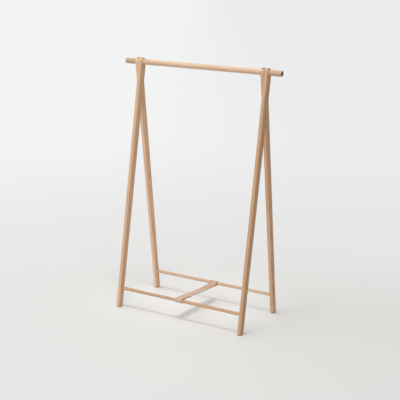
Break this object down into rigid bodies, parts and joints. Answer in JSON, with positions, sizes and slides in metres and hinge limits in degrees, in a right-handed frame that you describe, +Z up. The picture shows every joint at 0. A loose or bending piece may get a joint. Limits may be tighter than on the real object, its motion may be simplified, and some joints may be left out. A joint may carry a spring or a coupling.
{
  "type": "folding clothes rack",
  "caption": "Free-standing folding clothes rack: leaning flat wooden legs carry a long round hanging rod and fold about it, held open by a leather strap between the lower bars.",
  "frame": {"origin": "on the floor under the middle of the hanging rod", "axes": "+X along the rod, +Y towards the rear feet, +Z up"},
  "size_m": [1.09, 0.5016, 1.55],
  "materials": {
    "ash_wood": "clear oiled ash, open grain",
    "pin_wood": "end grain of ash dowel",
    "strap_leather": "natural vegetable-tanned leather",
    "felt": "dark brown wool felt",
    "nylon": "natural nylon"
  },
  "bodies": {
    "rear_frame": {"hanging_rod": "ash_wood", "rear_left_leg": "ash_wood", "rear_right_leg": "ash_wood", "rear_lower_bar": "ash_wood", "rear_left_rod_pin": "pin_wood", "rear_right_rod_pin": "pin_wood", "left_spacer_washer": "nylon", "right_spacer_washer": "nylon", "rear_left_foot_pad": "felt", "rear_right_foot_pad": "felt", "leather_strap": "strap_leather"},
    "front_frame": {"front_left_leg": "ash_wood", "front_right_leg": "ash_wood", "front_lower_bar": "ash_wood", "front_left_guide_pin": "pin_wood", "front_right_guide_pin": "pin_wood", "front_left_foot_pad": "felt", "front_right_foot_pad": "felt"}
  },
  "joints": [
    {"name": "frame_fold", "type": "hinge", "parent": "rear_frame", "child": "front_frame", "pos_m": [0, 0, 1.525], "axis": [1, 0, 0], "range_deg": [0, 15], "deforming": ["leather_strap"]}
  ]
}
